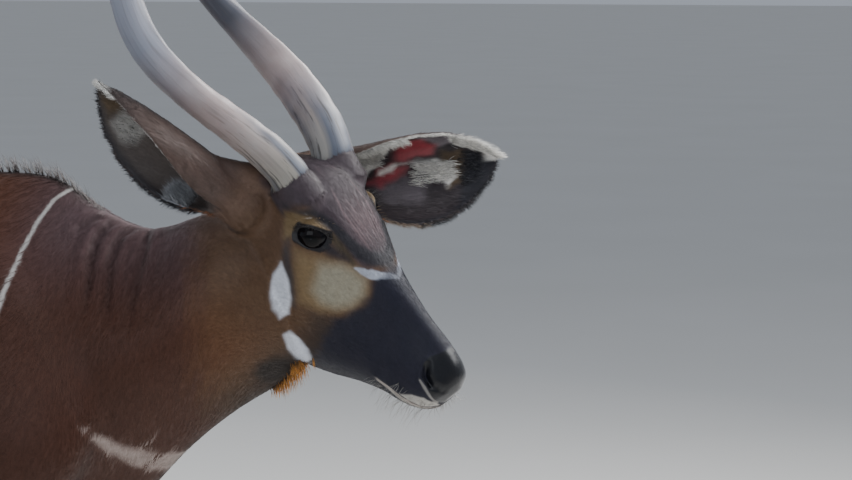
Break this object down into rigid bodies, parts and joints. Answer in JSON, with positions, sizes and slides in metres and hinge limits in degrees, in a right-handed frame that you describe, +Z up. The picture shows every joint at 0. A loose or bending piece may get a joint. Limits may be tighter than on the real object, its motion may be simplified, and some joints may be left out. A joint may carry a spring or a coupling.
{
  "type": "bongo antelope",
  "caption": "Life-size still model of a standing bongo antelope, with long twisting horns, broad ears, a short bristly crest, a tufted tail and cloven hooves.",
  "frame": {"origin": "on the floor below the middle of the bounding box", "axes": "+X from the rump towards the head, +Y to the animal's left, +Z up"},
  "size_m": [1.7094, 0.4862, 1.7912],
  "materials": {
    "coat": "short chestnut fur",
    "dark_coat": "dark hair",
    "horn": "worn keratin",
    "hoof": "dull black horn",
    "eye": "wet and glossy"
  },
  "bodies": {
    "root": {"ear_left": "coat", "ear_right": "coat", "eye_left": "eye", "eye_right": "eye", "head": "coat", "hoof_front_left_inner": "hoof", "hoof_front_left_outer": "hoof", "hoof_front_right_inner": "hoof", "hoof_front_right_outer": "hoof", "hoof_hind_left_inner": "hoof", "hoof_hind_left_outer": "hoof", "hoof_hind_right_inner": "hoof", "hoof_hind_right_outer": "hoof", "horn_left": "horn", "horn_right": "horn", "leg_front_left": "coat", "leg_front_right": "coat", "leg_hind_left": "coat", "leg_hind_right": "coat", "neck": "coat", "tail": "dark_coat", "torso": "coat"}
  },
  "joints": []
}
